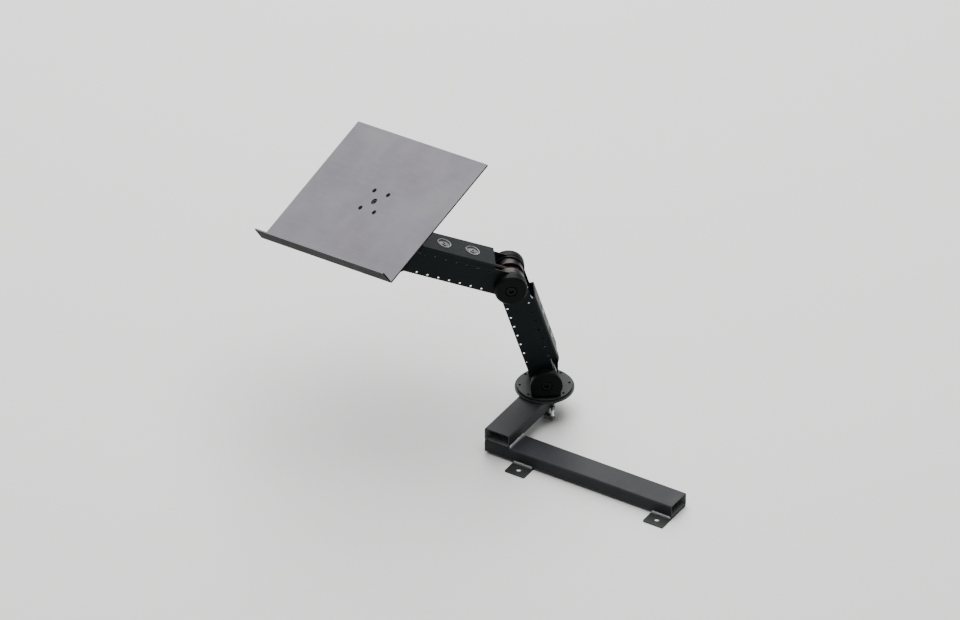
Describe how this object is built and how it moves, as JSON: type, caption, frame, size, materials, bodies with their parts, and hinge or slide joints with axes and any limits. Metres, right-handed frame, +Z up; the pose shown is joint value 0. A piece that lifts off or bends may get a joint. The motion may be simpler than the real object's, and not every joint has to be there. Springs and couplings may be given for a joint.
{
  "type": "articulated support arm",
  "caption": "Floor-bolted tube base with a turntable and a two-link folding arm, damped in each link, holding a tilting and swivelling laptop tray.",
  "frame": {"origin": "middle of the left foot strap's underside, on the floor", "axes": "+Z up, +X along the lower tube from the left strap to the right one, +Y along the cross tube towards the turntable"},
  "size_m": [0.7976, 0.4211, 0.5816],
  "materials": {
    "tube_black": "satin black powder coat on steel tube",
    "sheet_black": "satin black powder coat on folded sheet",
    "hub_black": "matt black coat on machined hubs and brackets",
    "disc_grey": "dark grey-green coat, lightly rubbed",
    "strap_steel": "dark grey coated flat bar",
    "weld_metal": "bare weld bead with ripples",
    "zinc_steel": "zinc plated steel",
    "bright_steel": "turned and polished steel",
    "dark_fastener": "black oxide fasteners",
    "phosphated_steel": "dark phosphate-coated steel, slightly brown",
    "friction_liner": "pressed friction lining",
    "tray_grey": "satin grey folded sheet"
  },
  "bodies": {
    "base": {"lower_tube": "tube_black", "cross_tube": "tube_black", "foot_strap_left": "strap_steel", "foot_strap_right": "strap_steel", "weld_cross": "weld_metal", "weld_left": "weld_metal", "weld_right": "weld_metal", "turntable_base_plate": "disc_grey", "turntable_spindle": "zinc_steel", "spindle_nut": "zinc_steel"},
    "lever": {"lock_lever": "zinc_steel"},
    "turntable": {"turntable_liner": "friction_liner", "turntable_top_plate": "disc_grey", "shoulder_bracket": "hub_black", "bracket_screw_front": "dark_fastener", "bracket_screw_rear": "dark_fastener", "shoulder_cover_near": "hub_black", "shoulder_cover_far": "hub_black", "shoulder_bolt": "dark_fastener", "shoulder_nut": "dark_fastener", "shoulder_friction_near": "friction_liner", "shoulder_friction_far": "friction_liner", "shoulder_crank": "phosphated_steel"},
    "lower_arm": {"lower_channel": "sheet_black", "lower_cylinder": "bright_steel", "lower_port_cap_1": "bright_steel", "lower_port_cap_2": "bright_steel", "elbow_bolt": "dark_fastener", "elbow_nut": "dark_fastener", "elbow_cap_near": "hub_black", "elbow_cap_far": "hub_black", "elbow_friction_near": "friction_liner", "elbow_friction_far": "friction_liner", "elbow_crank": "phosphated_steel"},
    "lower_damper_rod": {"lower_rod": "phosphated_steel"},
    "upper_arm": {"upper_channel": "sheet_black", "upper_cylinder": "bright_steel", "upper_port_cap_1": "bright_steel", "upper_port_cap_2": "bright_steel"},
    "upper_damper_rod": {"upper_rod": "phosphated_steel"},
    "wrist_head": {"wrist_bracket": "hub_black", "wrist_bolt": "dark_fastener", "wrist_nut": "dark_fastener", "wrist_friction_near": "friction_liner", "wrist_friction_far": "friction_liner", "wrist_hub": "phosphated_steel", "roll_clevis": "disc_grey", "roll_bolt": "zinc_steel", "roll_nut": "zinc_steel"},
    "tilt_head": {"tilt_block": "zinc_steel", "swivel_base_plate": "disc_grey"},
    "tray_head": {"tray_post": "disc_grey", "tray_bolt": "dark_fastener", "tray": "tray_grey", "tray_screw_1": "dark_fastener", "tray_screw_2": "dark_fastener", "tray_screw_3": "dark_fastener", "tray_screw_4": "dark_fastener"}
  },
  "joints": [
    {"name": "turntable_swivel", "type": "hinge", "parent": "base", "child": "turntable", "pos_m": [-0.054, 0.134, 0.06], "axis": [0, 0, 1], "range_deg": [-75, 75]},
    {"name": "lock_lever_turn", "type": "hinge", "parent": "base", "child": "lever", "pos_m": [-0.054, 0.134, 0.02], "axis": [0, 0, 1], "range_deg": [0, 50]},
    {"name": "shoulder_pitch", "type": "hinge", "parent": "turntable", "child": "lower_arm", "pos_m": [-0.054, 0.134, 0.0866], "axis": [0.5885, -0.8085, 0], "range_deg": [-28, 20]},
    {"name": "lower_rod_slide", "type": "slide", "parent": "lower_arm", "child": "lower_damper_rod", "axis": [-0.2337, -0.1701, 0.9573], "range_m": [-0.0062, 0.0078]},
    {"name": "elbow_pitch", "type": "hinge", "parent": "lower_arm", "child": "upper_arm", "pos_m": [-0.10401, 0.0976, 0.29147], "axis": [0.5885, -0.8085, 0], "range_deg": [-45, 30]},
    {"name": "upper_rod_slide", "type": "slide", "parent": "upper_arm", "child": "upper_damper_rod", "axis": [-0.7593, -0.5526, 0.3437], "range_m": [-0.0082, 0.0118]},
    {"name": "wrist_pitch", "type": "hinge", "parent": "upper_arm", "child": "wrist_head", "pos_m": [-0.26649, -0.02067, 0.36501], "axis": [0.5885, -0.8085, 0], "range_deg": [-45, 25]},
    {"name": "head_roll", "type": "hinge", "parent": "wrist_head", "child": "tilt_head", "pos_m": [-0.26866, -0.02225, 0.41632], "axis": [-0.6867, -0.4998, -0.5278], "range_deg": [-10, 10]},
    {"name": "tray_swivel", "type": "hinge", "parent": "tilt_head", "child": "tray_head", "pos_m": [-0.26866, -0.02225, 0.41632], "axis": [-0.3912, -0.3579, 0.8479], "range_deg": [-60, 60]}
  ],
  "couplings": [
    {"joint": "lower_rod_slide", "follows": "shoulder_pitch", "m_per_rad": -0.0133},
    {"joint": "upper_rod_slide", "follows": "elbow_pitch", "m_per_rad": -0.0133}
  ]
}
